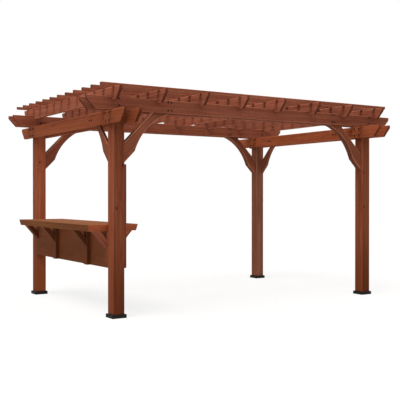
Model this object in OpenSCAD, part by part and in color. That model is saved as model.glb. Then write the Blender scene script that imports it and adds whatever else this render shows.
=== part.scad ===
// Freestanding wooden pergola with a bar counter between its two left posts.
// X runs along the long beams, Y runs from front to back and Z is up.
// The origin is on the ground, midway between the four posts.

/* [Posts] */
// Width of each square post
post_w = 140; // [90:1:200]
// Distance between post centres along X
post_span_x = 3815; // [2600:5:6000]
// Distance between post centres along Y
post_span_y = 2445; // [2000:5:4000]
// Height of the side beams' underside above the ground
headroom = 2182; // [1950:1:2700]

/* [Base plates] */
// Margin of each base plate around its post
plate_margin = 19; // [5:1:60]
// Thickness of each base plate
plate_t = 42; // [8:1:60]

/* [Beams] */
// Thickness of the beam boards
beam_t = 38; // [20:1:60]
// Depth of the side beam boards
side_beam_d = 150; // [90:1:240]
// Reach of the side beams past the outer faces of the posts
side_beam_reach = 348; // [200:1:600]
// Depth of the long beam boards
long_beam_d = 146; // [90:1:240]
// Reach of the long beams past the outer faces of the posts
long_beam_reach = 336; // [200:1:600]
// Height of the square nose on the ends of beams and rafters
nose_h = 38; // [10:1:80]
// Length of the sloping cut under each nose
slope_run = 100; // [20:1:140]

/* [Rafters] */
// Number of rafters
rafter_count = 8; // [4:1:12]
// Thickness of each rafter
rafter_t = 38; // [20:1:60]
// Depth of each rafter
rafter_d = 146; // [100:1:240]
// Reach of the rafters past the outer faces of the posts
rafter_reach = 235; // [200:1:600]
// Depth of the notches that seat the rafters on the long beams
notch_depth = 40; // [10:1:70]
// Gap between the cheeks of a notch and the board in it
notch_gap = 1; // [0.5:0.5:4]

/* [Slats] */
// Number of slats
slat_count = 12; // [4:1:20]
// Width of each slat
slat_w = 45; // [20:1:100]
// Thickness of each slat
slat_t = 36; // [15:1:60]
// Reach of the slats past the end rafters
slat_reach = 156; // [10:1:400]
// Inset of the outer slats from the rafters' tips
slat_inset = 125; // [0:1:300]

/* [Braces] */
// Thickness of the braces along the long beams
long_brace_t = 89; // [38:1:90]
// Width of the planks that the braces along the long beams are cut from
long_brace_w = 156; // [130:1:230]
// Thickness of the braces along the side beams
side_brace_t = 38; // [20:1:60]
// Width of the planks that the braces along the side beams are cut from
side_brace_w = 140; // [130:1:230]
// Inset of the side braces from the outer faces of the posts
side_brace_inset = 10; // [0:1:30]
// Drop of a brace's foot below the side beams' underside
brace_drop = 444; // [400:1:700]
// Length of the straight edge at a brace's foot
brace_foot = 208; // [80:1:300]
// Chord of a brace's curved edge
brace_chord = 628; // [300:1:800]
// Depth of a brace's curved edge
brace_curve = 74; // [20:1:100]
// Gap over a brace's head
brace_gap = 5; // [1:0.5:20]

/* [Counter] */
// Height of the counter's top surface
counter_h = 1050; // [850:1:1200]
// Thickness of the counter top
counter_t = 76; // [30:1:100]
// Width of the counter top across the posts
counter_w = 628; // [450:1:900]
// Inset of the counter top's lower edge
counter_undercut = 16; // [2:1:40]
// Thickness of the panels under the counter
panel_t = 20; // [10:1:40]
// Height of the panels' lower edge above the ground
panel_z = 558; // [200:1:650]

/* [Counter brackets] */
// Thickness of each bracket and width of each batten
bracket_t = 89; // [38:1:140]
// Drop of each bracket below the counter
bracket_drop = 200; // [80:1:220]
// Depth of each bracket's slanting strut
bracket_d = 62; // [30:1:80]
// Margin between the brackets and the counter's lower edge
bracket_margin = 6; // [0:1:30]
// Inset of the end brackets from the posts
end_bracket_inset = 12; // [0:1:80]
// Depth of the battens behind the middle brackets
batten_d = 48; // [20:1:60]
// Distance from the front post to the front batten
front_batten_inset = 478; // [200:1:700]
// Distance from the back post to the back batten
back_batten_inset = 748; // [200:1:900]

/* [Post cleat] */
// Width of the cleat on the front left post
cleat_w = 89; // [40:1:90]
// Thickness of the cleat
cleat_t = 38; // [15:1:60]
// Gap between the cleat and the brace above it
cleat_gap = 6; // [1:1:30]

/* [Hidden] */
CORNERS = ["front_left", "front_right", "back_left", "back_right"];
// Corners that also have a brace under the side beam: the back left one has none
SIDE_BRACED = [0, 1, 3];
FACES = ["outer", "inner"];
SIDES = ["left", "right"];
ENDS = ["front", "back"];

timber = [0.46, 0.23, 0.15];
timber_light = [0.54, 0.29, 0.18];
timber_dark = [0.35, 0.17, 0.11];
black_metal = [0.05, 0.05, 0.05];

post_x = post_span_x / 2;
post_y = post_span_y / 2;
half_post = post_w / 2;
outer_x = post_x + half_post;
outer_y = post_y + half_post;
inner_x = post_x - half_post;
inner_y = post_y - half_post;
plate_w = post_w + 2 * plate_margin;

side_beam_top = headroom + side_beam_d;
long_beam_top = side_beam_top + long_beam_d;
board_offset = half_post + beam_t / 2;

rafter_z = long_beam_top - notch_depth;
rafter_top = rafter_z + rafter_d;
rafter_tip = outer_y + rafter_reach;
end_rafter_x = outer_x + rafter_t / 2;
rafter_pitch = 2 * end_rafter_x / (rafter_count - 1);

slat_tip = outer_x + rafter_t + slat_reach;
end_slat_y = rafter_tip - slat_inset - slat_w / 2;
slat_pitch = 2 * end_slat_y / (slat_count - 1);

brace_z = headroom - brace_drop;
side_brace_x = outer_x - side_brace_inset - side_brace_t / 2;
arc_r = brace_chord * brace_chord / (8 * brace_curve) + brace_curve / 2;
arc_along = brace_foot + brace_chord / 2;
arc_off = arc_r - brace_curve;
arc_x = (arc_along + arc_off) / sqrt(2);
arc_z = brace_z + (arc_along - arc_off) / sqrt(2);

counter_z = counter_h - counter_t;
bracket_reach = counter_w / 2 - counter_undercut - half_post - batten_d - bracket_margin;
bracket_length = sqrt(bracket_reach * bracket_reach + bracket_drop * bracket_drop);
front_batten_y = -inner_y + front_batten_inset;
back_batten_y = inner_y - back_batten_inset - bracket_t;
front_bracket_y = -inner_y + end_bracket_inset;
back_bracket_y = inner_y - end_bracket_inset - bracket_t;

$fn = 96;

function left_or_right(i) = i % 2 == 0 ? -1 : 1;
function front_or_back(i) = i < 2 ? -1 : 1;
function low_or_high(i) = i == 0 ? -1 : 1;
function out_or_in(i) = i == 0 ? 1 : -1;
function side_board_x(side, face) = low_or_high(side) * (post_x + out_or_in(face) * board_offset);
function long_board_y(end, face) = low_or_high(end) * (post_y + out_or_in(face) * board_offset);

// A board along X with a square nose and a sloping cut at each end
module ended_board(half_length, depth, thickness) {
    rotate([90, 0, 0])
        linear_extrude(thickness, center = true)
            polygon([
                [-half_length + slope_run, 0],
                [half_length - slope_run, 0],
                [half_length, depth - nose_h],
                [half_length, depth],
                [-half_length, depth],
                [-half_length, depth - nose_h]
            ]);
}

module post(i) {
    color(timber)
        translate([left_or_right(i) * post_x - half_post, front_or_back(i) * post_y - half_post, plate_t])
            cube([post_w, post_w, long_beam_top - plate_t]);
}

module base_plate(i) {
    color(black_metal)
        translate([left_or_right(i) * post_x - plate_w / 2, front_or_back(i) * post_y - plate_w / 2, 0])
            cube([plate_w, plate_w, plate_t]);
}

module side_beam(side, face) {
    color(timber_light)
        translate([side_board_x(side, face), 0, headroom])
            rotate(90)
                ended_board(outer_y + side_beam_reach, side_beam_d, beam_t);
}

module long_beam(end, face) {
    color(timber)
        translate([0, long_board_y(end, face), side_beam_top])
            ended_board(outer_x + long_beam_reach, long_beam_d, beam_t);
}

// A rafter sits down over the four boards of the long beams
module rafter(i) {
    notch_w = beam_t + 2 * notch_gap;
    color(timber_light)
        translate([-end_rafter_x + (i - 1) * rafter_pitch, 0, rafter_z])
            difference() {
                rotate(90)
                    ended_board(rafter_tip, rafter_d, rafter_t);
                for (end = [0, 1], face = [0, 1])
                    translate([-rafter_t, long_board_y(end, face) - notch_w / 2, -notch_depth])
                        cube([2 * rafter_t, notch_w, 2 * notch_depth]);
            }
}

module roof_slats() {
    color(timber_light)
        for (i = [0 : slat_count - 1])
            translate([-slat_tip, -end_slat_y + i * slat_pitch - slat_w / 2, rafter_top])
                cube([2 * slat_tip, slat_w, slat_t]);
}

// Side view of a brace, with the post's face at zero and the curve on the opening's side
module brace_profile(head_z, width) {
    // A brace leans at 45 degrees, so its plank's width shows as this height on the post
    band = width * sqrt(2);
    difference() {
        polygon([
            [0, brace_z],
            [head_z - brace_z, head_z],
            [head_z - brace_z - band, head_z],
            [0, brace_z + band]
        ]);
        translate([arc_x, arc_z])
            circle(arc_r);
    }
}

module brace(head_z, width, thickness) {
    rotate([90, 0, 0])
        linear_extrude(thickness, center = true)
            brace_profile(head_z, width);
}

module long_brace(i) {
    color(timber)
        translate([left_or_right(i) * inner_x, front_or_back(i) * post_y, 0])
            rotate(left_or_right(i) < 0 ? 0 : 180)
                brace(rafter_z - brace_gap, long_brace_w, long_brace_t);
}

module side_brace(i) {
    color(timber)
        translate([left_or_right(i) * side_brace_x, front_or_back(i) * inner_y, 0])
            rotate(front_or_back(i) < 0 ? 90 : -90)
                brace(side_beam_top - brace_gap, side_brace_w, side_brace_t);
}

// Side view of the counter top along one axis, narrower below than on top
module undercut_section(half_width) {
    polygon([
        [-half_width + counter_undercut, counter_z],
        [half_width - counter_undercut, counter_z],
        [half_width, counter_h],
        [-half_width, counter_h]
    ]);
}

module counter_top() {
    color(timber_light)
        translate([-post_x, 0, 0])
            intersection() {
                rotate([90, 0, 0])
                    linear_extrude(2 * inner_y, center = true)
                        undercut_section(counter_w / 2);
                rotate([90, 0, 90])
                    linear_extrude(counter_w, center = true)
                        undercut_section(inner_y);
            }
}

// Places a piece against the outer or the inner faces of the left posts
module on_counter_face(face) {
    translate([-post_x, 0, 0])
        mirror([1 - face, 0, 0])
            translate([half_post, 0, 0])
                children();
}

module counter_panel(face) {
    color(timber_dark)
        on_counter_face(face)
            translate([-panel_t, -inner_y, panel_z])
                cube([panel_t, 2 * inner_y, counter_z - panel_z]);
}

module counter_battens(face) {
    color(timber_dark)
        on_counter_face(face)
            for (y = [front_batten_y, back_batten_y])
                translate([0, y, panel_z])
                    cube([batten_d, bracket_t, counter_z - panel_z]);
}

// A slanting strut, cut upright at the wall and level under the counter
module bracket() {
    rotate([90, 0, 0])
        translate([0, 0, -bracket_t])
            linear_extrude(bracket_t)
                intersection() {
                    polygon([[0, counter_z - bracket_drop], [bracket_reach, counter_z], [0, counter_z]]);
                    translate([0, counter_z - bracket_drop])
                        rotate(atan2(bracket_drop, bracket_reach))
                            square([bracket_length, bracket_d]);
                }
}

module counter_brackets(face) {
    color(timber)
        on_counter_face(face) {
            for (y = [front_bracket_y, back_bracket_y])
                translate([0, y, 0])
                    bracket();
            for (y = [front_batten_y, back_batten_y])
                translate([batten_d, y, 0])
                    bracket();
        }
}

// Upright cleat on the inner face of the front left post
module post_cleat() {
    color(timber_dark)
        translate([-inner_x, -post_y - cleat_w / 2, panel_z])
            cube([cleat_t, cleat_w, brace_z - cleat_gap - panel_z]);
}

for (i = [0 : len(CORNERS) - 1])
    post(i);
for (i = [0 : len(CORNERS) - 1])
    base_plate(i);
for (s = [0, 1], f = [0, 1])
    side_beam(s, f);
for (e = [0, 1], f = [0, 1])
    long_beam(e, f);
for (i = [1 : rafter_count])
    rafter(i);
roof_slats();
for (i = [0 : len(CORNERS) - 1])
    long_brace(i);
for (i = SIDE_BRACED)
    side_brace(i);
counter_top();
for (f = [0, 1])
    counter_panel(f);
for (f = [0, 1])
    counter_battens(f);
for (f = [0, 1])
    counter_brackets(f);
post_cleat();
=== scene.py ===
# %% [markdown]
# # A stained timber pergola with a bar counter
#
# The pergola stands on four square posts. Paired side beams clasp the posts, paired long beams lie on them,
# eight notched rafters ride over the long beams and twelve slats close the roof. Between the two left posts
# there is a bar counter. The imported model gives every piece's place and size, in metres, so this lesson is
# about how sawn timber looks: eased arrises, grain that runs along each board, end grain, knots, stain and
# bolts.

# %% Load the frame
import math
import random

import bpy
from mathutils import Matrix, Vector


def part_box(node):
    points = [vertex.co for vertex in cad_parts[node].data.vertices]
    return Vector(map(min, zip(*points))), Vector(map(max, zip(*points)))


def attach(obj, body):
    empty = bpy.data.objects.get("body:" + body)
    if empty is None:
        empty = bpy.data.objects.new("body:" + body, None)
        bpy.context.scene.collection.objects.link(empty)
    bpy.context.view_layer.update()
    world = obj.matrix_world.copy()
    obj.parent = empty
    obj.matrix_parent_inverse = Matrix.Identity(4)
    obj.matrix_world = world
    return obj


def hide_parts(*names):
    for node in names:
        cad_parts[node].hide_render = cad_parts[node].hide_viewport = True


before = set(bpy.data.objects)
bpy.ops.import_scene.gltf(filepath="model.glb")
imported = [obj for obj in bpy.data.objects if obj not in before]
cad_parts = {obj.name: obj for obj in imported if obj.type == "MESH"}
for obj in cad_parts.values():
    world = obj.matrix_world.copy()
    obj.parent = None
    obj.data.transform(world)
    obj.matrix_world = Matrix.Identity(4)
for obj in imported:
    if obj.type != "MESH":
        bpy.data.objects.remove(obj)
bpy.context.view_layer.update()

# %% [markdown]
# ## The camera
#
# The eye stands in front of the left end, a little below head height, and looks almost level along the
# diagonal. A camera could be placed by trial, but its place was worked out from the corners of the posts
# and beams, so the numbers are used as they are. No shift is needed, and depth of field stays off.

# %% Camera
EYE_PLACE = (-5.628, -8.846, 1.374)
EYE_TILT, EYE_HEADING = math.radians(89.68), math.radians(-32.42)
EYE_LENS, EYE_SENSOR = 67.24, 36.0

bpy.ops.object.select_all(action="DESELECT")
bpy.ops.object.camera_add(location=EYE_PLACE, rotation=(EYE_TILT, 0.0, EYE_HEADING))
eye = bpy.context.object
eye.name = "eye"
eye.data.lens = EYE_LENS
eye.data.sensor_width = EYE_SENSOR
bpy.context.scene.camera = eye
bpy.context.scene.view_settings.view_transform = "Standard"
print("camera at", [round(v, 3) for v in eye.location])

# %% [markdown]
# ## Floor, sky and lamps
#
# The floor is plain and almost white. Most of what the camera sees of it glows at a strength of one, so it
# meets the sky without a horizon, and the rest is lit, so the pergola's shadow still falls on it. A white
# floor would also throw much light up under the roof, so the light that bounces off it finds a duller
# floor. The sky is white to the camera and a soft light to the object, stronger overhead than at the
# horizon. A broad sun, high at the left, stands in for a large softbox, because a lamp nearby would light
# one end of so large an object more than the other. A second sun, broad and weak, fills the shadows from
# the front.

# %% First node helpers
def new_material(name):
    """An empty node material, and its tree."""
    material = bpy.data.materials.new(name)
    material.use_nodes = True
    material.node_tree.nodes.clear()
    return material, material.node_tree


def add_node(tree, kind, **settings):
    """A node with some of its settings."""
    node = tree.nodes.new(kind)
    for key, value in settings.items():
        setattr(node, key, value)
    return node


def feed(tree, socket, value):
    """Sets a socket to a number, triple or colour, or links it to the socket of another node."""
    if isinstance(value, (int, float, tuple)):
        socket.default_value = value
    else:
        tree.links.new(value, socket)


def number(tree, operation, *values):
    """A Math node."""
    node = add_node(tree, "ShaderNodeMath", operation=operation)
    for socket, value in zip(node.inputs, values):
        feed(tree, socket, value)
    return node.outputs[0]


def blend(tree, share, under, over):
    """A mix of two shaders."""
    node = add_node(tree, "ShaderNodeMixShader")
    for socket, value in zip(node.inputs, (share, under, over)):
        feed(tree, socket, value)
    return node.outputs[0]


def seen_directly(tree):
    """One where a ray comes from the camera, a mirror-like bounce or clear glass."""
    path = add_node(tree, "ShaderNodeLightPath")
    either = number(tree, "MAXIMUM", path.outputs["Is Camera Ray"], path.outputs["Is Glossy Ray"])
    return number(tree, "MAXIMUM", either, path.outputs["Is Transmission Ray"])


def glow(tree, kind, strength, colour=(1.0, 1.0, 1.0, 1.0)):
    """An Emission or a Background shader."""
    node = add_node(tree, kind)
    feed(tree, node.inputs["Color"], colour)
    feed(tree, node.inputs["Strength"], strength)
    return node.outputs[0]


def matt(tree, colour):
    """A shader with no gloss."""
    node = add_node(tree, "ShaderNodeBsdfDiffuse")
    node.inputs["Color"].default_value = colour
    return node.outputs[0]


def show(tree, shader, kind="ShaderNodeOutputMaterial"):
    """Links a shader to the output."""
    tree.links.new(shader, add_node(tree, kind).inputs["Surface"])


print("node helpers ready")

# %% Floor
FLOOR_SIZE, FLOOR_GLOW = 240.0, 0.80
FLOOR_SEEN, FLOOR_BOUNCE = (0.80, 0.80, 0.80, 1.0), (0.44, 0.42, 0.40, 1.0)

bpy.ops.object.select_all(action="DESELECT")
bpy.ops.mesh.primitive_plane_add(size=FLOOR_SIZE)
floor = bpy.context.object
floor.name = "studio_floor"
pale, tree = new_material("pale_floor")
seen = blend(tree, FLOOR_GLOW, matt(tree, FLOOR_SEEN), glow(tree, "ShaderNodeEmission", 1.0))
show(tree, blend(tree, seen_directly(tree), matt(tree, FLOOR_BOUNCE), seen))
floor.data.materials.append(pale)
print("floor", floor.name)

# %% Sky
HORIZON_LIGHT, OVERHEAD_LIGHT = 0.17, 0.80
SKY_COLOUR = (1.0, 0.97, 0.94, 1.0)

sky = bpy.data.worlds.new("studio_sky")
bpy.context.scene.world = sky
sky.use_nodes = True
tree = sky.node_tree
tree.nodes.clear()
towards = add_node(tree, "ShaderNodeSeparateXYZ")
tree.links.new(add_node(tree, "ShaderNodeTexCoord").outputs["Generated"], towards.inputs[0])
overhead = add_node(tree, "ShaderNodeMapRange")
overhead.inputs["To Min"].default_value = HORIZON_LIGHT
overhead.inputs["To Max"].default_value = OVERHEAD_LIGHT
tree.links.new(towards.outputs[2], overhead.inputs["Value"])
soft = glow(tree, "ShaderNodeBackground", overhead.outputs["Result"], SKY_COLOUR)
white = glow(tree, "ShaderNodeBackground", 1.0)
show(tree, blend(tree, seen_directly(tree), soft, white), "ShaderNodeOutputWorld")
print("sky", sky.name, HORIZON_LIGHT, OVERHEAD_LIGHT)

# %% Lamps
SUN_COLOUR = (1.0, 0.96, 0.91)


def add_sun(name, towards, strength, spread):
    """A sun that shines from the direction towards, with a disc as wide as spread, in degrees."""
    bpy.ops.object.select_all(action="DESELECT")
    bpy.ops.object.light_add(type="SUN", rotation=Vector(towards).to_track_quat("Z", "Y").to_euler())
    lamp = bpy.context.object
    lamp.name = name
    lamp.data.energy = strength
    lamp.data.angle = math.radians(spread)
    lamp.data.color = SUN_COLOUR


add_sun("left_softbox", towards=(-0.43, -0.13, 0.893), strength=2.95, spread=36.0)
add_sun("front_fill", towards=(0.15, -0.93, 0.33), strength=0.75, spread=60.0)

# %% [markdown]
# ## The stain
#
# Every board is softwood with a red-brown stain that lets the grain show. An image of wood would repeat and
# stretch, so the finish is a solid texture: each board carries its own coordinates in an attribute named
# grain_place, with X along the grain, and the growth rings, fibres and knots are worked out from those. The
# rings then show as long flames on the faces and as arcs on the sawn ends, as they do in a real board.
# Three more attributes hold each face's tone with its painted light and shade, the sawn ends, which
# drink more stain and carry painted shade, and the eased arrises, where the stain is rubbed thin and a
# painted highlight is laid.

# %% Node helpers for the stain
def vector(tree, operation, *values):
    """A Vector Math node."""
    node = add_node(tree, "ShaderNodeVectorMath", operation=operation)
    for socket, value in zip(node.inputs, values):
        feed(tree, socket, value)
    return node.outputs["Value" if operation == "LENGTH" else "Vector"]


def noise(tree, place, stretch, detail, roughness=0.55, output=0):
    """A noise stretched by three scales, in repeats for each metre."""
    node = add_node(tree, "ShaderNodeTexNoise")
    node.inputs["Scale"].default_value = 1.0
    node.inputs["Detail"].default_value = detail
    node.inputs["Roughness"].default_value = roughness
    tree.links.new(vector(tree, "MULTIPLY", place, stretch), node.inputs["Vector"])
    return node.outputs[output]


def ramp(tree, value, low, high, start=0.0, end=1.0):
    """A smooth step from start to end as value goes from low to high."""
    node = add_node(tree, "ShaderNodeMapRange", interpolation_type="SMOOTHSTEP")
    tree.links.new(value, node.inputs["Value"])
    for name, setting in (("From Min", low), ("From Max", high), ("To Min", start), ("To Max", end)):
        node.inputs[name].default_value = setting
    return node.outputs["Result"]


def tint(tree, share, under, over, mode="MIX"):
    """A mix of two colours."""
    node = add_node(tree, "ShaderNodeMix", data_type="RGBA", blend_type=mode)
    for index, value in ((0, share), (6, under), (7, over)):
        feed(tree, node.inputs[index], value)
    return node.outputs[2]


def own(tree, name, output):
    """Reads one of the board's own attributes."""
    return add_node(tree, "ShaderNodeAttribute", attribute_name=name).outputs[output]


def object_place(tree):
    """A point's place in the pergola, in metres, because every finished piece sits at the origin."""
    return add_node(tree, "ShaderNodeTexCoord").outputs["Object"]


def parts_of(tree, place):
    """The X, Y and Z of a place."""
    node = add_node(tree, "ShaderNodeSeparateXYZ")
    tree.links.new(place, node.inputs[0])
    return node.outputs


def skin(tree, colour, roughness, gloss, height, strength, depth):
    """The surface itself. height is a pattern, raised by depth in metres and shown at a strength."""
    bump = add_node(tree, "ShaderNodeBump")
    bump.inputs["Strength"].default_value = strength
    bump.inputs["Distance"].default_value = depth
    tree.links.new(height, bump.inputs["Height"])
    surface = add_node(tree, "ShaderNodeBsdfPrincipled")
    surface.inputs["Specular IOR Level"].default_value = gloss
    for name, socket in (("Base Color", colour), ("Roughness", roughness), ("Normal", bump.outputs[0])):
        tree.links.new(socket, surface.inputs[name])
    show(tree, surface.outputs[0])


print("stain helpers ready")

# %% [markdown]
# ## Knots
#
# A knot is the foot of a branch, and the grain flows round it. Each could be painted by hand, but there are
# many boards, so a Voronoi texture scatters them: its cells are long in the direction of the grain, and
# only some of them get a knot. The large knots on the posts have places of their own, and are added to the
# scattered ones.

# %% Knots
KNOT_CELLS = (2.1, 8.0, 8.0)
KNOT_SQUEEZE, FACE_KNOT_SQUEEZE = (0.6, 1.0, 1.0), (1.0, 1.0, 0.7)
KNOT_CHANCE, KNOT_RADIUS, KNOT_RIM = 0.62, 0.017, 0.005
FLOW_REACH, FLOW_SHARE = 0.07, 0.9
FACE_KNOT_OUTSIDE, FACE_KNOT_INSIDE, FACE_KNOT_STRENGTH = 0.022, 0.008, 0.8
FACE_FLOW_REACH, FACE_FLOW_PUSH = 0.08, 0.014


def gap_between(tree, place, spot, squeeze):
    """The distance from a spot, squeezed along each axis, so that a knot can be longer one way."""
    apart = vector(tree, "SUBTRACT", place, spot)
    return vector(tree, "LENGTH", vector(tree, "MULTIPLY", apart, squeeze))


def knots(tree, place, face_knots):
    """How much each point belongs to a knot, and how far the rings are pushed aside round it."""
    cells = add_node(tree, "ShaderNodeTexVoronoi", feature="F1")
    cells.inputs["Scale"].default_value = 1.0
    tree.links.new(vector(tree, "MULTIPLY", place, KNOT_CELLS), cells.inputs["Vector"])
    heart = vector(tree, "DIVIDE", cells.outputs["Position"], KNOT_CELLS)
    away = gap_between(tree, place, heart, KNOT_SQUEEZE)
    chance = add_node(tree, "ShaderNodeSeparateColor")
    tree.links.new(cells.outputs["Color"], chance.inputs[0])
    size = ramp(tree, chance.outputs[0], KNOT_CHANCE, 1.0, 0.0, KNOT_RADIUS)
    knot = ramp(tree, number(tree, "SUBTRACT", size, away), 0.0, KNOT_RIM)
    near = ramp(tree, away, 0.0, FLOW_REACH, 1.0, 0.0)
    flow = number(tree, "MULTIPLY", near, number(tree, "MULTIPLY", size, FLOW_SHARE))
    for spot in face_knots:
        gap = gap_between(tree, object_place(tree), spot, FACE_KNOT_SQUEEZE)
        large = ramp(tree, gap, FACE_KNOT_OUTSIDE, FACE_KNOT_INSIDE, 0.0, FACE_KNOT_STRENGTH)
        knot = number(tree, "MAXIMUM", knot, large)
        push = ramp(tree, gap, 0.0, FACE_FLOW_REACH, FACE_FLOW_PUSH, 0.0)
        flow = number(tree, "MAXIMUM", flow, push)
    return knot, flow


print("knots up to", 2 * KNOT_RADIUS, "m across")

# %% [markdown]
# ## Growth rings
#
# A tree adds a ring each year, pale in spring and dark late in the summer. A Wave texture can draw rings,
# but with Math nodes it is easier to push them aside round a knot: the distance from the heart of the tree,
# counted in rings, has a fraction, and that fraction is the season.

# %% Growth rings
RING_WIDTH = 0.0085
LATE_FROM, LATE_FULL, LATE_END = 0.25, 0.90, 0.93


def late_wood(tree, place, flow):
    """The dark part of each ring. The heart of the tree lies along X."""
    parts = parts_of(tree, place)
    squares = [number(tree, "MULTIPLY", side, side) for side in (parts[1], parts[2])]
    radius = number(tree, "ADD", number(tree, "SQRT", number(tree, "ADD", *squares)), flow)
    year = number(tree, "FRACT", number(tree, "MULTIPLY", radius, 1 / RING_WIDTH))
    return number(tree, "MULTIPLY", ramp(tree, year, LATE_FROM, LATE_FULL), ramp(tree, year, 1.0, LATE_END))


print("rings", RING_WIDTH, "m wide")

# %% [markdown]
# ## Stained timber
#
# Stain takes unevenly: it is darker in the late wood, in open fibres, on sawn ends and in knots, and it is
# rubbed off along the arrises. The sawn ends are darkened further as painted shade, and the light colour of
# the arrises is also a painted highlight. Each of these is mixed over the colour before it, with a share
# from a noise or an attribute, which is simpler to adjust than one large colour ramp. The same patterns
# drive bump and roughness, so that the grain catches the light where it shows.

# %% Stained timber
WANDER_SCALE, WANDER_REACH = (1.4, 5.0, 5.0), (0.0, 0.030, 0.030)
FIBRE_SCALE, STREAK_SCALE = (3.0, 130.0, 130.0), (0.9, 26.0, 26.0)
CLOUD_SCALE, PORE_SCALE = (0.8, 3.0, 3.0), (24.0, 700.0, 700.0)
MID_GREY = (0.5, 0.5, 0.5)
STREAK_SPAN, FIBRE_SPAN, CLOUD_SPAN = (0.30, 0.72), (0.52, 0.80), (0.35, 0.75)
LATE_SHARE, FIBRE_SHARE, CLOUD_SHARE = 0.26, 0.40, 0.22
SHADE_RANGE, SHADE_START = 0.34, 0.83
RUB_AND_HIGHLIGHT_SPAN, RUB_AND_HIGHLIGHT_LEAST, RUB_AND_HIGHLIGHT_MOST = (0.30, 0.65), 0.30, 0.85
ROUGH_SPAN, ROUGH_LEAST, ROUGH_MOST = (0.3, 1.6), 0.65, 0.85
SAWN_STAIN_AND_SHADE_SHARE, SAWN_STAIN_AND_SHADE_DEPTH, KNOT_SHARE, KNOT_DEPTH = 0.75, 0.6, 0.80, 0.5
LATE_RELIEF, FIBRE_RELIEF, PORE_RELIEF, KNOT_RELIEF = 0.35, 0.8, 0.35, 0.6
TIMBER_GLOSS, TIMBER_BUMP, TIMBER_RELIEF = 0.05, 0.35, 0.0015


def deeper(colour, depth):
    """A darker version of a stain."""
    return tuple(c * depth for c in colour[:3]) + (1.0,)


def stained_timber(name, dark, mid, light, worn_and_highlight, figure=1.0, face_knots=(), low_darkening=None):
    """Timber with solid grain: figure is the strength of its grain, and the fifth colour is that of its
    arrises, where the stain is rubbed thin and a painted highlight is laid.

    face_knots are points, in metres, where a knot shows. The last argument is a height below which the
    timber grows darker downwards, the height where that is complete, and a tint for it.
    """
    material, tree = new_material(name)
    place = own(tree, "grain_place", "Vector")
    wander = noise(tree, place, WANDER_SCALE, detail=2.0, output="Color")
    wander = vector(tree, "MULTIPLY", vector(tree, "SUBTRACT", wander, MID_GREY), WANDER_REACH)
    bent = vector(tree, "ADD", place, wander)
    knot, flow = knots(tree, place, face_knots)
    late = late_wood(tree, bent, flow)
    fibre = noise(tree, bent, FIBRE_SCALE, detail=4.0, roughness=0.65)
    streak = noise(tree, bent, STREAK_SCALE, detail=3.0)
    cloud = noise(tree, place, CLOUD_SCALE, detail=3.0)
    pore = noise(tree, place, PORE_SCALE, detail=2.0)

    colour = tint(tree, ramp(tree, streak, *STREAK_SPAN, 0.0, figure), mid, light)
    colour = tint(tree, number(tree, "MULTIPLY", late, LATE_SHARE * figure), colour, dark)
    colour = tint(tree, ramp(tree, fibre, *FIBRE_SPAN, 0.0, FIBRE_SHARE * figure), colour, dark)
    colour = tint(tree, ramp(tree, cloud, *CLOUD_SPAN, 0.0, CLOUD_SHARE), colour, dark)
    # The face's tone, with any painted light or shade laid by lay_grain, scales the colour.
    shade = number(tree, "MULTIPLY_ADD", own(tree, "board_tone_and_painted_light", "Fac"), SHADE_RANGE, SHADE_START)
    colour = tint(tree, 1.0, colour, shade, mode="MULTIPLY")
    # The arrises are lightened: the stain is rubbed thin there, and the light colour is also a painted
    # highlight.
    rub_and_highlight = ramp(tree, streak, *RUB_AND_HIGHLIGHT_SPAN, RUB_AND_HIGHLIGHT_LEAST, RUB_AND_HIGHLIGHT_MOST)
    rub_and_highlight = number(tree, "MULTIPLY", own(tree, "eased_arris", "Fac"), rub_and_highlight)
    colour = tint(tree, rub_and_highlight, colour, worn_and_highlight)
    # Sawn ends drink more stain, and are darkened further as painted shade.
    sawn_stain_and_shade = number(tree, "MULTIPLY", own(tree, "sawn_end", "Fac"), SAWN_STAIN_AND_SHADE_SHARE)
    colour = tint(tree, sawn_stain_and_shade, colour, deeper(dark, SAWN_STAIN_AND_SHADE_DEPTH))
    colour = tint(tree, number(tree, "MULTIPLY", knot, KNOT_SHARE), colour, deeper(dark, KNOT_DEPTH))
    if low_darkening:
        above, below, depth = low_darkening
        low_down = ramp(tree, parts_of(tree, object_place(tree))[2], above, below)
        colour = tint(tree, low_down, colour, depth, mode="MULTIPLY")

    height = number(tree, "MULTIPLY_ADD", late, LATE_RELIEF, number(tree, "MULTIPLY", fibre, FIBRE_RELIEF))
    height = number(tree, "MULTIPLY_ADD", pore, PORE_RELIEF, height)
    height = number(tree, "SUBTRACT", height, number(tree, "MULTIPLY", knot, KNOT_RELIEF))
    rough = ramp(tree, number(tree, "ADD", fibre, late), *ROUGH_SPAN, ROUGH_LEAST, ROUGH_MOST)
    skin(tree, colour, rough, TIMBER_GLOSS, height, TIMBER_BUMP, TIMBER_RELIEF)
    return material


print("timber relief", TIMBER_RELIEF, "m")

# %% [markdown]
# ## Seven stains
#
# The stain is redder on the beams, greyer on one post and more yellow on the counter, so there are seven
# versions of it. One material with a tint for each piece would do for small differences, but here the dark,
# middle, light and arris colours all differ. The posts grow darker towards their feet, and the panels grow
# darker towards the bottom, which is painted shade.

# %% Stains
def stain(red, green, blue):
    """A colour as it is read off a screen, made linear for the shader."""
    def linear(value):
        value /= 255.0
        return value / 12.92 if value <= 0.04045 else ((value + 0.055) / 1.055) ** 2.4
    return (linear(red), linear(green), linear(blue), 1.0)


POST_KNOTS = (
    (-1.935, -1.2925, 1.235), (-1.927, 1.1525, 1.839), (1.862, -1.2925, 1.699), (1.872, -1.2925, 1.223),
)
# The posts grow darker towards their feet.
POST_DARKER_LOW = (1.15, 0.0, (0.68, 0.61, 0.47, 1.0))
# Painted shade: the panels grow darker towards the bottom.
PANEL_PAINTED_SHADE_LOW = (0.97, 0.56, (0.55, 0.51, 0.43, 1.0))
PANEL_FIGURE = 0.4

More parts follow.
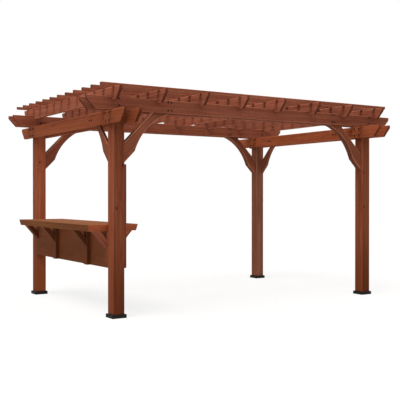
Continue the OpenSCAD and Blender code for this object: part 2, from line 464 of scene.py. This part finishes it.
post_stain = stained_timber(
    "post_stain", stain(94, 43, 26), stain(136, 72, 48), stain(158, 90, 62), stain(168, 98, 70),
    face_knots=POST_KNOTS, low_darkening=POST_DARKER_LOW)
muted_stain = stained_timber(
    "muted_stain", stain(88, 50, 37), stain(129, 80, 62), stain(150, 98, 78), stain(164, 112, 90))
brace_stain = stained_timber(
    "brace_stain", stain(86, 43, 30), stain(126, 71, 52), stain(146, 88, 66), stain(214, 150, 116))
beam_stain = stained_timber(
    "beam_stain", stain(92, 42, 24), stain(140, 72, 45), stain(162, 90, 58), stain(180, 106, 74))
roof_stain = stained_timber(
    "roof_stain", stain(94, 45, 31), stain(142, 79, 58), stain(164, 98, 76), stain(196, 130, 102))
counter_stain = stained_timber(
    "counter_stain", stain(86, 48, 26), stain(122, 72, 40), stain(144, 90, 53), stain(150, 98, 62))
panel_shaded_stain = stained_timber(
    "panel_shaded_stain", stain(102, 57, 34), stain(150, 90, 59), stain(158, 96, 63), stain(164, 100, 67),
    figure=PANEL_FIGURE, low_darkening=PANEL_PAINTED_SHADE_LOW)
print("stains", [material.name for material in bpy.data.materials if material.name.endswith("_stain")])

# %% [markdown]
# ## The sawing bench
#
# A board starts as a cube at its size and place. Edit mode's bisect is the saw: it cuts along a plane and
# fills the cut. A Boolean takes out notches and curves. A Bevel modifier then eases the arrises, because
# sanded timber has no knife edges and the soft corners catch the light. A helper for each of these keeps
# the steps below short.

# %% Blocks and cuts
ARRIS, ARRIS_STEPS, SHARP_ANGLE = 0.004, 3, math.radians(28.0)


def clear_bench():
    """Back to object mode with nothing selected, so that an operator acts on one board."""
    if bpy.context.object and bpy.context.object.mode != "OBJECT":
        bpy.ops.object.mode_set(mode="OBJECT")
    bpy.ops.object.select_all(action="DESELECT")


def pick(board):
    """Makes a board the only one selected, and the active one."""
    clear_bench()
    board.select_set(True)
    bpy.context.view_layer.objects.active = board


def square_block(name, low, high):
    """A cube drawn out between two corners."""
    clear_bench()
    low, high = Vector(low), Vector(high)
    bpy.ops.mesh.primitive_cube_add(size=1.0, location=(low + high) / 2, scale=high - low)
    bpy.ops.object.transform_apply(location=True, rotation=True, scale=True)
    bpy.context.object.name = name
    return bpy.context.object


def saw_off(board, point, facing):
    """Cuts along a plane and drops what lies on the side that the plane faces."""
    pick(board)
    bpy.ops.object.mode_set(mode="EDIT")
    bpy.ops.mesh.select_all(action="SELECT")
    bpy.ops.mesh.bisect(plane_co=point, plane_no=facing, use_fill=True, clear_outer=True)
    bpy.ops.object.mode_set(mode="OBJECT")


def discard(board):
    """Takes a pattern or a cutter off the bench."""
    bpy.data.objects.remove(board, do_unlink=True)


def cut_away(board, cutter):
    """Takes the cutter's shape out of the board."""
    pick(board)
    cut = board.modifiers.new("cut", "BOOLEAN")
    cut.operation = "DIFFERENCE"
    cut.solver = "EXACT"
    cut.object = cutter
    bpy.ops.object.modifier_apply(modifier=cut.name)
    discard(cutter)


def ease_arrises(board, width):
    """Rounds every sharp corner and keeps the faces between them flat."""
    pick(board)
    bpy.ops.object.shade_smooth()
    bevel = board.modifiers.new("eased", "BEVEL")
    bevel.width = width
    bevel.segments = ARRIS_STEPS
    bevel.limit_method = "ANGLE"
    bevel.angle_limit = SHARP_ANGLE
    bevel.harden_normals = True
    bpy.ops.object.modifier_apply(modifier=bevel.name)


print("arrises", ARRIS, "m")

# %% [markdown]
# ## Grain for each board
#
# No two boards have the same grain. A UV map would give each its own piece of a flat pattern, but the stain
# is solid, so each point stores where it lies in the trunk that its board was sawn from, and the place in
# the trunk is drawn by lot from a fixed seed. Faces store their shade, and whether they are a sawn end or
# an eased arris.

# %% Grain
MARKS = random.Random(41)
TRUNK_LONG, HEART_ASIDE, HEART_NEAR, HEART_FAR = 30, 0.05, 0.02, 0.08
END_GRAIN, EASED_END_GRAIN, SAME_WAY = 0.5, 0.35, 0.9
ALONG_X, ALONG_Y, ALONG_Z = (1, 0, 0), (0, 1, 0), (0, 0, 1)
TO_FRONT = (0, -1, 0)


def lay_grain(board, along, across, arris, shade=None, painted_light_and_shade=()):
    """Stores where each point lies in its trunk, and each face's shade, sawn ends and eased arrises.

    The shade is drawn by lot if none is given. The last argument holds directions, each with a change of
    shade for the faces that look that way, which is painted light or shade. A face narrower than arris is
    taken for an eased one.
    """
    mesh = board.data
    along, across = Vector(along).normalized(), Vector(across).normalized()
    turn = Matrix((along, across, along.cross(across)))
    middle = sum((Vector(corner) for corner in board.bound_box), Vector()) / 8
    start, aside = MARKS.uniform(0, TRUNK_LONG), MARKS.uniform(-HEART_ASIDE, HEART_ASIDE)
    heart = Vector((start, aside, MARKS.choice((-1, 1)) * MARKS.uniform(HEART_NEAR, HEART_FAR)))
    drawn = MARKS.random()
    shade = drawn if shade is None else shade
    places, shades, ends, arrises = [], [], [], []
    for point in mesh.vertices:
        places.extend(turn @ (point.co - middle) + heart)
    for face in mesh.polygons:
        corners = [mesh.vertices[i].co for i in face.vertices]
        longest = max((a - b).length for a, b in zip(corners, corners[1:] + corners[:1]))
        narrow = face.area / longest < arris
        endways = abs(face.normal.dot(along))
        # A face that looks along one of the given directions takes its painted light or shade.
        change = sum(tone for way, tone in painted_light_and_shade if face.normal.dot(Vector(way)) > SAME_WAY)
        shades.append(shade + change)
        ends.append(float(endways > (EASED_END_GRAIN if narrow else END_GRAIN)))
        arrises.append(float(narrow and endways < EASED_END_GRAIN))
    mesh.attributes.new("grain_place", "FLOAT_VECTOR", "POINT").data.foreach_set("vector", places)
    for name, values in (("board_tone_and_painted_light", shades), ("sawn_end", ends), ("eased_arris", arrises)):
        mesh.attributes.new(name, "FLOAT", "FACE").data.foreach_set("value", values)


print("a trunk is", TRUNK_LONG, "m long")

# %% [markdown]
# ## Copies and fitting
#
# Boards that repeat are made once and copied. Linked copies would save memory, but each board stores its
# own grain, so every copy gets its own mesh. Small boards that are one node in the CAD model are joined,
# and then the finished piece takes the node's place and rides on the same body.

# %% Copies and fitting
CORNERS = ("front_left", "front_right", "back_left", "back_right")


def another(board, name, move=(0, 0, 0), turn=(0, 0, 0)):
    """A copy with its own mesh, turned about the origin and then moved."""
    pick(board)
    bpy.ops.object.duplicate()
    copy = bpy.context.object
    copy.name = name
    copy.rotation_euler = turn
    copy.location = move
    bpy.ops.object.transform_apply(location=True, rotation=True, scale=True)
    return copy


def join_boards(boards, name):
    """Makes several boards one piece. They keep their own materials."""
    pick(boards[0])
    for board in boards:
        board.select_set(True)
    bpy.ops.object.join()
    boards[0].name = name
    return boards[0]


def coat(board, finish):
    """Gives a board its only material."""
    board.data.materials.clear()
    board.data.materials.append(finish)


def fit(board, node, finish):
    """Puts a finished piece in the place of its CAD node. With no finish it keeps its boards' own."""
    if finish:
        coat(board, finish)
    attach(board, "root")
    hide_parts(node)


def end_of(low, high, axis, end):
    """Where a box ends along an axis: its high side for an end of 1, its low side for -1."""
    return high[axis] if end > 0 else low[axis]


print("corners", CORNERS)

# %% [markdown]
# ## Posts
#
# Each post is one square timber that runs up between the paired beams. A single block with eased arrises is
# all that the shape needs, because the heartwood, knots and streaks are in the stain. All four are the
# same, so one is made and copied, and each copy gets its own grain. The faces that look to the front carry
# painted shade on the two front posts and painted light on the back left one.

# %% Posts
POST_ARRIS = 0.005
# Each post has its own tone, with painted shade on the front faces of the front posts and painted light on
# the front face of the back left post.
POST_SHADES_AND_FRONT_LIGHT = {
    "front_left": (0.3, [(TO_FRONT, -0.8)]),
    "front_right": (0.4, [(TO_FRONT, -0.9)]),
    "back_left": (0.0, [(TO_FRONT, 1.7)]),
    "back_right": (0.5, []),
}

low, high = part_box("post_front_left")
plain = square_block("plain_post", low, high)
ease_arrises(plain, POST_ARRIS)
for corner in CORNERS:
    node = "post_" + corner
    shade, painted_light_and_shade = POST_SHADES_AND_FRONT_LIGHT[corner]
    post = another(plain, "timber_" + node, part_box(node)[0] - low)
    lay_grain(post, ALONG_Z, ALONG_X, ARRIS, shade, painted_light_and_shade)
    fit(post, node, muted_stain if corner == "back_right" else post_stain)
discard(plain)
print("posts", [round(v, 3) for v in high - low])

# %% [markdown]
# ## Beams
#
# The side beams and the long beams are pairs of boards with decorative ends: a square nose on top and a
# long sloping cut below it. An extruded outline would give this too, but sawing the two slopes off a plain
# board is how the real one is made, and it keeps the end faces true.

# %% Beams
NOSE, SLOPE = 0.038, 0.100
BEAM_SHADES = {
    "left_side_beam_outer": 0.1, "right_side_beam_inner": 1.0, "front_long_beam_outer": -0.1,
    "back_long_beam_outer": 1.0, "back_long_beam_inner": 0.5,
}


def nosed_board(name, low, high, axis):
    """A board along X (axis 0) or Y (axis 1) with a nose and a slope at both ends."""
    board = square_block(name, low, high)
    for end in (-1, 1):
        point = Vector(high)
        point[axis] = end_of(low, high, axis, end)
        point.z = high.z - NOSE
        facing = Vector((0, 0, -SLOPE))
        facing[axis] = end * (high.z - low.z - NOSE)
        saw_off(board, point, facing)
    return board


for axis, along, names, finish in (
    (1, ALONG_Y, ("left_side_beam_", "right_side_beam_"), beam_stain),
    (0, ALONG_X, ("front_long_beam_", "back_long_beam_"), roof_stain),
):
    nodes = [name + face for name in names for face in ("outer", "inner")]
    low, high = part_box(nodes[0])
    plain = nosed_board("plain_beam", low, high, axis)
    ease_arrises(plain, ARRIS)
    for node in nodes:
        beam = another(plain, "timber_" + node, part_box(node)[0] - low)
        lay_grain(beam, along, ALONG_Z, ARRIS, BEAM_SHADES.get(node))
        fit(beam, node, finish)
    discard(plain)
    print(names, round(high[axis] - low[axis], 3), "m long")

# %% [markdown]
# ## Rafters
#
# A rafter has the same ends as the beams, and four notches that let it down over the boards of the long
# beams. The notches could be drawn into an outline, but a Boolean takes them out as a saw and chisel would.
# The cutter is a row of blocks joined together.

# %% Rafters
RAFTERS = 8
NOTCH_DEEP, NOTCH_GAP, CUT_PAST = 0.040, 0.001, 0.05
SEATS = (
    "front_long_beam_outer", "front_long_beam_inner", "back_long_beam_inner", "back_long_beam_outer",
)

low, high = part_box("rafter_1")
plain = nosed_board("plain_rafter", low, high, 1)
blocks = []
for beam in SEATS:
    seat_low, seat_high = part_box(beam)
    blocks.append(square_block(
        "notch", (low.x - CUT_PAST, seat_low.y - NOTCH_GAP, low.z - CUT_PAST),
        (high.x + CUT_PAST, seat_high.y + NOTCH_GAP, low.z + NOTCH_DEEP)))
cut_away(plain, join_boards(blocks, "notches"))
ease_arrises(plain, ARRIS)
for i in range(1, RAFTERS + 1):
    node = "rafter_%d" % i
    rafter = another(plain, "timber_" + node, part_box(node)[0] - low)
    lay_grain(rafter, ALONG_Y, ALONG_Z, ARRIS)
    fit(rafter, node, roof_stain)
discard(plain)
print("rafters", RAFTERS)

# %% [markdown]
# ## Slats
#
# Twelve slender battens lie across the rafters, evenly spaced. An Array modifier would repeat one, but then
# all would have the same grain. They are one node in the CAD model, so they are made as separate boards,
# each with its own grain, and then joined into one piece.

# %% Slats
SLATS, SLAT_WIDE = 12, 0.045

low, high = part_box("roof_slats")
pitch = (high.y - low.y - SLAT_WIDE) / (SLATS - 1)
plain = square_block("plain_slat", low, (high.x, low.y + SLAT_WIDE, high.z))
ease_arrises(plain, ARRIS)
slats = []
for i in range(SLATS):
    slat = another(plain, "slat", (0, i * pitch, 0))
    lay_grain(slat, ALONG_X, ALONG_Y, ARRIS)
    slats.append(slat)
discard(plain)
fit(join_boards(slats, "timber_roof_slats"), "roof_slats", roof_stain)
print("slats", SLATS, "pitch", round(pitch, 4))

# %% [markdown]
# ## Braces
#
# Each brace leans at 45 degrees, with its foot against a post, its head between a pair of beams and a
# hollow curve along its lower edge. Those along the long beams are thick planks. Those along the side beams
# are thin boards beside the outer beam, with a lower head. A curve with thickness could give the shape too,
# but sawing gives the crisp ends: the plank is a block turned in edit mode, two saw cuts make it upright at
# the post and level at the head, and a big cylinder takes out the curve.

# %% One brace
BRACE_FOOT, BRACE_CHORD, BRACE_CURVE, BRACE_ARRIS = 0.208, 0.628, 0.074, 0.006
BRACE_TAIL, CURVE_STEPS = 0.4, 160
LEAN = math.radians(45.0)
UP_THE_BRACE = Vector((math.cos(LEAN), 0, math.sin(LEAN)))
ACROSS_THE_BRACE = Vector((-math.sin(LEAN), 0, math.cos(LEAN)))


def curved_brace(name, wide, thick, rise):
    """A brace that leans along +X, with its foot at the origin and its head at the height rise."""
    brace = square_block(name, (-BRACE_TAIL, -thick / 2, 0.0), (2 * rise, thick / 2, wide))
    bpy.ops.object.mode_set(mode="EDIT")
    bpy.ops.mesh.select_all(action="SELECT")
    bpy.ops.transform.rotate(value=LEAN, orient_axis="Y", center_override=(0, 0, 0))
    bpy.ops.object.mode_set(mode="OBJECT")
    saw_off(brace, (0, 0, 0), (-1, 0, 0))
    saw_off(brace, (0, 0, rise), (0, 0, 1))
    radius = BRACE_CHORD ** 2 / (8 * BRACE_CURVE) + BRACE_CURVE / 2
    hub = UP_THE_BRACE * (BRACE_FOOT + BRACE_CHORD / 2) - ACROSS_THE_BRACE * (radius - BRACE_CURVE)
    clear_bench()
    bpy.ops.mesh.primitive_cylinder_add(
        vertices=CURVE_STEPS, radius=radius, depth=4 * thick, location=hub,
        rotation=(math.radians(90.0), 0, 0))
    cut_away(brace, bpy.context.object)
    ease_arrises(brace, BRACE_ARRIS)
    return brace


print("curve", BRACE_CHORD, "m long and", BRACE_CURVE, "m deep")

# %% Braces
LONG_BRACE_WIDE, SIDE_BRACE_WIDE = 0.156, 0.140
# The back left brace is lightened as painted light, and the upper faces of all braces are darkened as
# painted shade.
BRACE_SHADES_AND_LIGHT = {"long_brace_back_left": 1.4, "long_brace_front_right": 0.3}
BRACE_TOP_PAINTED_SHADE = -0.8

for kind, axis, wide in (("long_brace_", 0, LONG_BRACE_WIDE), ("side_brace_", 1, SIDE_BRACE_WIDE)):
    low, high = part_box(kind + "front_left")
    plain = curved_brace("plain_brace", wide, high[1 - axis] - low[1 - axis], high.z - low.z)
    for corner in CORNERS:
        node = kind + corner
        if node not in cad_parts:
            continue
        low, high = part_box(node)
        ahead = corner.endswith("left") if axis == 0 else corner.startswith("front")
        turn = math.radians((0.0 if ahead else 180.0) + 90.0 * axis)
        foot = (low + high) / 2
        foot[axis] = end_of(low, high, axis, -1 if ahead else 1)
        foot.z = low.z
        brace = another(plain, "timber_" + node, foot, (0, 0, turn))
        spin = Matrix.Rotation(turn, 3, "Z")
        across = spin @ ACROSS_THE_BRACE
        painted_light_and_shade = [(across, BRACE_TOP_PAINTED_SHADE)]
        lay_grain(brace, spin @ UP_THE_BRACE, across, BRACE_ARRIS, BRACE_SHADES_AND_LIGHT.get(node), painted_light_and_shade)
        fit(brace, node, brace_stain)
        print(brace.name, [round(v, 3) for v in foot])
    discard(plain)

# %% [markdown]
# ## Counter top
#
# The counter is a bar top: planks that run from post to post inside a mitred edging whose outer faces lean
# inwards below. One slab would hide how it is put together, so planks and edging are separate boards, sawn
# to their mitres, that meet with fine joints, and then they are joined into one piece.

# %% Edging of the counter
UNDERCUT, EDGING, COUNTER_ARRIS = 0.016, 0.038, 0.0025
EDGING_SHADES = (0.0, 1.3)
SIDES = ((0, -1), (0, 1), (1, -1), (1, 1))


def edging(low, high, axis, end):
    """One board of the edging, leaning inwards below and mitred at both ends."""
    inner, outer = Vector(low), Vector(high)
    if end > 0:
        inner[axis] = high[axis] - EDGING
    else:
        outer[axis] = low[axis] + EDGING
    board = square_block("edging", inner, outer)
    edge = Vector(high)
    edge[axis] = end_of(low, high, axis, end)
    lean = Vector((0, 0, -UNDERCUT))
    lean[axis] = end * (high.z - low.z)
    saw_off(board, edge, lean)
    for side in (-1, 1):
        corner = Vector(edge)
        corner[1 - axis] = end_of(low, high, 1 - axis, side)
        mitre = Vector()
        mitre[axis], mitre[1 - axis] = -end, side
        saw_off(board, corner, mitre)
    ease_arrises(board, COUNTER_ARRIS)
    lay_grain(board, ALONG_Y if axis == 0 else ALONG_X, ALONG_Z, COUNTER_ARRIS, EDGING_SHADES[axis])
    coat(board, counter_stain if axis == 0 else beam_stain)
    return board


low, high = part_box("counter_top")
boards = [edging(low, high, axis, end) for axis, end in SIDES]
print("edging boards", len(boards))

# %% Planks of the counter
PLANKS, PLANK_LOWER = 5, 0.0005

plank_wide = (high.x - low.x - 2 * EDGING) / PLANKS
for i in range(PLANKS):
    left = low.x + EDGING + i * plank_wide
    plank = square_block(
        "plank", (left, low.y + EDGING, low.z), (left + plank_wide, high.y - EDGING, high.z - PLANK_LOWER))
    ease_arrises(plank, COUNTER_ARRIS)
    lay_grain(plank, ALONG_Y, ALONG_X, COUNTER_ARRIS)
    coat(plank, counter_stain)
    boards.append(plank)
fit(join_boards(boards, "timber_counter_top"), "counter_top", None)
print("planks", PLANKS, "each", round(plank_wide, 3), "m wide")

# %% [markdown]
# ## Panels, battens, brackets and cleat
#
# Under the counter a panel closes each face of the wall between the posts, with two upright battens on it
# and four brackets below the counter's edge. A panel could be one sheet with lines drawn on it, but three
# boards that meet give real joints. A bracket is a strut: a block with two slanting saw cuts, one above it
# and one below. The upright cleat on the front left post is a plain eased board. The panels, the battens,
# the cleat and all brackets but the one at the front end of each face are darkened as painted shade, and
# that one is lighter, as painted light.

# %% Panels
# The panel's three boards are lighter upwards, as painted shade.
PANEL_ARRIS, PANEL_BOARD_PAINTED_SHADES = 0.002, (0.3, 0.5, 0.7)

for face in ("outer", "inner"):
    low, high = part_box("counter_panel_" + face)
    tall = (high.z - low.z) / len(PANEL_BOARD_PAINTED_SHADES)
    boards = []
    for i, shade in enumerate(PANEL_BOARD_PAINTED_SHADES):
        board = square_block(
            "panel_board", (low.x, low.y, low.z + i * tall), (high.x, high.y, low.z + (i + 1) * tall))
        ease_arrises(board, PANEL_ARRIS)
        lay_grain(board, ALONG_Y, ALONG_Z, PANEL_ARRIS, shade)
        boards.append(board)
    fit(join_boards(boards, "timber_panel_" + face), "counter_panel_" + face, panel_shaded_stain)
    print("panel", face, "boards", len(PANEL_BOARD_PAINTED_SHADES))

# %% One batten and one bracket
BRACKET_THICK, BRACKET_DEEP = 0.089, 0.062
# The battens and most brackets are darkened as painted shade, the battens most on the faces that look to the
# front.
BATTEN_PAINTED_SHADE, BATTEN_FRONT_PAINTED_SHADE, BRACKET_PAINTED_SHADE = -0.2, -0.5, -0.7


def batten(low, high, start):
    """An upright board on a panel."""
    board = square_block("batten", (low.x, start, low.z), (high.x, start + BRACKET_THICK, high.z))
    ease_arrises(board, ARRIS)
    lay_grain(board, ALONG_Z, ALONG_Y, ARRIS, BATTEN_PAINTED_SHADE, [(TO_FRONT, BATTEN_FRONT_PAINTED_SHADE)])
    return board


def bracket(back, tip, start, bottom, top, painted_lit):
    """A strut that rises from its foot at back to its tip under the counter's edge."""
    board = square_block(
        "bracket", (min(back, tip), start, bottom), (max(back, tip), start + BRACKET_THICK, top))
    reach, drop = tip - back, top - bottom
    below = Vector((math.copysign(drop, reach), 0, -abs(reach))).normalized()
    foot = Vector((back, 0, bottom))
    saw_off(board, foot, below)
    saw_off(board, foot - BRACKET_DEEP * below, -below)
    ease_arrises(board, ARRIS)
    # The bracket at the front end takes the roof stain and a drawn tone as painted light; the others take
    # the panel stain, darkened as painted shade.
    lay_grain(board, (reach, 0, drop), ALONG_Y, ARRIS, None if painted_lit else BRACKET_PAINTED_SHADE)
    coat(board, roof_stain if painted_lit else panel_shaded_stain)
    return board


print("bracket", BRACKET_THICK, "m by", BRACKET_DEEP, "m")

# %% Battens, brackets and cleat
END_BRACKET_INSET, CLEAT_PAINTED_SHADE = 0.012, -0.6

end_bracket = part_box("counter_top")[1].y - END_BRACKET_INSET
for face, out in (("outer", -1), ("inner", 1)):
    low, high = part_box("counter_battens_" + face)
    starts = (low.y, high.y - BRACKET_THICK)
    battens = [batten(low, high, start) for start in starts]
    pair = join_boards(battens, "timber_battens_" + face)
    fit(pair, "counter_battens_" + face, panel_shaded_stain)
    deep = high.x - low.x
    places = [(0.0, -end_bracket), (0.0, end_bracket - BRACKET_THICK)] + [(deep, start) for start in starts]
    low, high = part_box("counter_brackets_" + face)
    reach = high.x - low.x - deep
    wall = end_of(low, high, 0, -out)
    brackets = []
    for offset, start in places:
        back = wall + out * offset
        # Only the bracket at the front end of each face gets painted light.
        painted_lit = start < starts[0]
        brackets.append(bracket(back, back + out * reach, start, low.z, high.z, painted_lit))
    fit(join_boards(brackets, "timber_brackets_" + face), "counter_brackets_" + face, None)
    print(face, "battens", len(battens), "brackets", len(brackets))
cleat = square_block("timber_post_cleat", *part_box("post_cleat"))
ease_arrises(cleat, ARRIS)
# The cleat is darkened as painted shade.
lay_grain(cleat, ALONG_Z, ALONG_Y, ARRIS, CLEAT_PAINTED_SHADE)
fit(cleat, "post_cleat", post_stain)
print("cleat", cleat.name)

# %% [markdown]
# ## Bases
#
# A black metal base shows under each post and keeps the timber off the ground. Only its painted sides can
# be seen, so a block with rounded edges is enough, and folding it from plate would add nothing. The paint
# is nearly black, with faint dust and a fine pebbled skin, which are two noises of very different scale.

# %% Black paint
DUST_SCALE, PEBBLE_SCALE = (60.0, 60.0, 60.0), (900.0, 900.0, 900.0)
DUST_SPAN, DUST_SHARE = (0.45, 0.80), 0.5
DULL_SPAN, DULL_MORE = (0.2, 0.8), 0.15
PAINT_GLOSS, PAINT_BUMP, PAINT_RELIEF = 0.15, 0.25, 0.0006


def black_paint(name, colour, dust, rough):
    """Dark paint with dust of another colour. It is rougher where the dust lies."""
    material, tree = new_material(name)
    speck = noise(tree, object_place(tree), DUST_SCALE, detail=4.0)
    pebble = noise(tree, object_place(tree), PEBBLE_SCALE, detail=2.0)
    colour = tint(tree, ramp(tree, speck, *DUST_SPAN, 0.0, DUST_SHARE), colour, dust)
    roughness = ramp(tree, speck, *DULL_SPAN, rough, rough + DULL_MORE)
    skin(tree, colour, roughness, PAINT_GLOSS, pebble, PAINT_BUMP, PAINT_RELIEF)
    return material


base_paint = black_paint("base_paint", stain(20, 18, 17), stain(44, 39, 35), rough=0.60)
bolt_black = black_paint("bolt_black", stain(34, 22, 17), stain(66, 44, 34), rough=0.55)
print("paints", base_paint.name, bolt_black.name)

# %% Bases
BASE_ROUNDING = 0.004

for corner in CORNERS:
    node = "base_plate_" + corner
    base = square_block("metal_" + node, *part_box(node))
    ease_arrises(base, BASE_ROUNDING)
    fit(base, node, base_paint)
print("bases", len(CORNERS))

# %% [markdown]
# ## Bolts
#
# Black bolts hold the beams to the posts and braces: a hexagon head on a round washer on one face, the same
# on the other. A bump could hint at them, but they catch the light and show from the side. One is modelled,
# standing on its washer, then turned and copied to each place, and all are joined into a single piece
# because they are small and alike.

# %% One bolt
WASHER_RADIUS, WASHER_THICK, WASHER_SIDES = 0.0110, 0.0025, 20
HEAD_RADIUS, HEAD_TALL, HEAD_SIDES, HEAD_EASE = 0.0078, 0.0060, 6, 0.0009


def round_bar(sides, radius, tall, bottom):
    """A cylinder that stands at the height bottom."""
    clear_bench()
    bpy.ops.mesh.primitive_cylinder_add(
        vertices=sides, radius=radius, depth=tall, location=(0, 0, bottom + tall / 2))
    return bpy.context.object


def washer_and_head():
    """A bolt head that stands on the XY plane and points along +Z."""
    washer = round_bar(WASHER_SIDES, WASHER_RADIUS, WASHER_THICK, 0.0)
    head = round_bar(HEAD_SIDES, HEAD_RADIUS, HEAD_TALL, WASHER_THICK)
    bpy.ops.object.mode_set(mode="EDIT")
    bpy.ops.mesh.select_all(action="SELECT")
    bpy.ops.mesh.bevel(offset=HEAD_EASE, segments=2, affect="EDGES")
    bpy.ops.object.mode_set(mode="OBJECT")
    bolt = join_boards([washer, head], "bolt")
    bpy.ops.object.transform_apply(location=True, rotation=True, scale=True)
    return bolt


def drive(pattern, place, facing):
    """A copy of a bolt or screw at a place, pointing along facing."""
    return another(pattern, "driven", place, Vector(facing).to_track_quat("Z", "Y").to_euler())


def fasten(heads, name):
    """Joins small black pieces into one. It replaces no CAD node."""
    count = len(heads)
    piece = join_boards(heads, name)
    coat(piece, bolt_black)
    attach(piece, "root")
    print(name, count)


bolt = washer_and_head()
print("bolt faces", len(bolt.data.polygons))

# %% Bolts on the beams
LONG_BEAM_BOLTS = (
    (1.9225, 2.384), (1.9225, 2.462), (1.245, 2.364), (1.245, 2.458), (1.290, 2.364), (1.290, 2.458),
)
SIDE_BEAM_BOLTS = ((1.1775, 2.214), (1.1775, 2.304), (1.2675, 2.214), (1.2675, 2.304))
SIDE_BRACE_BOLTS = ((0.735, 2.258), (0.790, 2.258))


def beam_faces(beam, axis, sign):
    """The two outward faces of a pair of beams, each with the way that it looks."""
    outer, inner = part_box(beam + "outer"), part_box(beam + "inner")
    return (end_of(*outer, axis, sign), sign), (end_of(*inner, axis, -sign), -sign)


bolts = []
for end, sign in (("front", -1), ("back", 1)):
    for y, facing in beam_faces(end + "_long_beam_", 1, sign):
        for side in (-1, 1):
            for x, z in LONG_BEAM_BOLTS:
                bolts.append(drive(bolt, (side * x, y, z), (0, facing, 0)))
for end, sign in (("left", -1), ("right", 1)):
    for x, facing in beam_faces(end + "_side_beam_", 0, sign):
        for side, place in ((-1, "front_"), (1, "back_")):
            braced = "side_brace_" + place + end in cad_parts
            for y, z in SIDE_BEAM_BOLTS + (SIDE_BRACE_BOLTS if braced else ()):
                bolts.append(drive(bolt, (x, side * y, z), (facing, 0, 0)))
discard(bolt)
fasten(bolts, "beam_bolts")

# %% [markdown]
# ## Screws on the slats
#
# A screw head sits where each slat crosses a rafter, hardly proud of the timber. A dark spot in the stain
# would be flat, so each is a real head: a short cylinder whose top is inset and sunk, which leaves a rim.
# There are nearly a hundred of them, so one has only a few dozen faces.

# %% Screws on the slats
SCREW_RADIUS, SCREW_SIDES = 0.0045, 12
SCREW_PROUD, SCREW_SUNK = 0.0004, 0.0003

slat_low, slat_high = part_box("roof_slats")
screw = round_bar(SCREW_SIDES, SCREW_RADIUS, 4 * SCREW_PROUD, -2 * SCREW_PROUD)
bpy.ops.object.mode_set(mode="EDIT")
bpy.ops.mesh.select_mode(type="FACE")
bpy.ops.mesh.select_all(action="DESELECT")
bpy.ops.object.mode_set(mode="OBJECT")
for face in screw.data.polygons:
    face.select = face.normal.z > SAME_WAY
bpy.ops.object.mode_set(mode="EDIT")
bpy.ops.mesh.inset(thickness=SCREW_RADIUS / 2)
bpy.ops.transform.translate(value=(0, 0, -SCREW_SUNK))
bpy.ops.object.mode_set(mode="OBJECT")
screws = []
for i in range(SLATS):
    across = slat_low.y + SLAT_WIDE / 2 + i * pitch
    for j in range(1, RAFTERS + 1):
        low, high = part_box("rafter_%d" % j)
        place = ((low.x + high.x) / 2, across, slat_high.z - SCREW_PROUD)
        screws.append(drive(screw, place, ALONG_Z))
discard(screw)
fasten(screws, "slat_screws")
